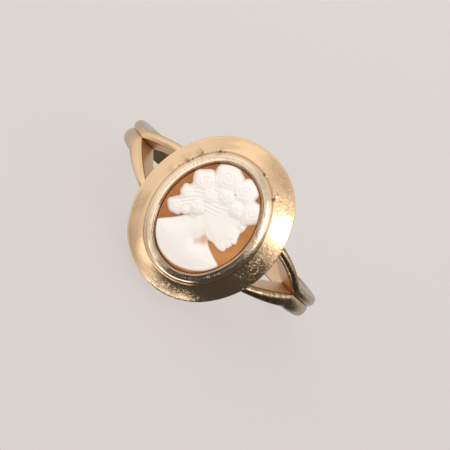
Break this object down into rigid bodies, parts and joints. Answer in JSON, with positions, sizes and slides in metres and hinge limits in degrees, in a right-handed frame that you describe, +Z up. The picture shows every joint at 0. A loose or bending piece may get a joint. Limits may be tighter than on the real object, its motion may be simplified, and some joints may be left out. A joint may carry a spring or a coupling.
{
  "type": "cameo ring",
  "caption": "Gold finger ring with a forked shank and a wide flange round a raised collar that holds an oval carved shell cameo.",
  "frame": {"origin": "on the surface that the ring lies on, under the middle of its bounding box", "axes": "+Z up from the surface that the ring lies on, -Y towards the side that the head faces, +X towards the side that the carved face looks to"},
  "size_m": [0.02, 0.0214, 0.0133],
  "materials": {
    "gold": "polished gold, worn and finely scratched",
    "shell": "smooth carved shell, white relief on an orange-brown ground"
  },
  "bodies": {
    "root": {"ring_mount": "gold", "shell_cameo": "shell"}
  },
  "joints": []
}
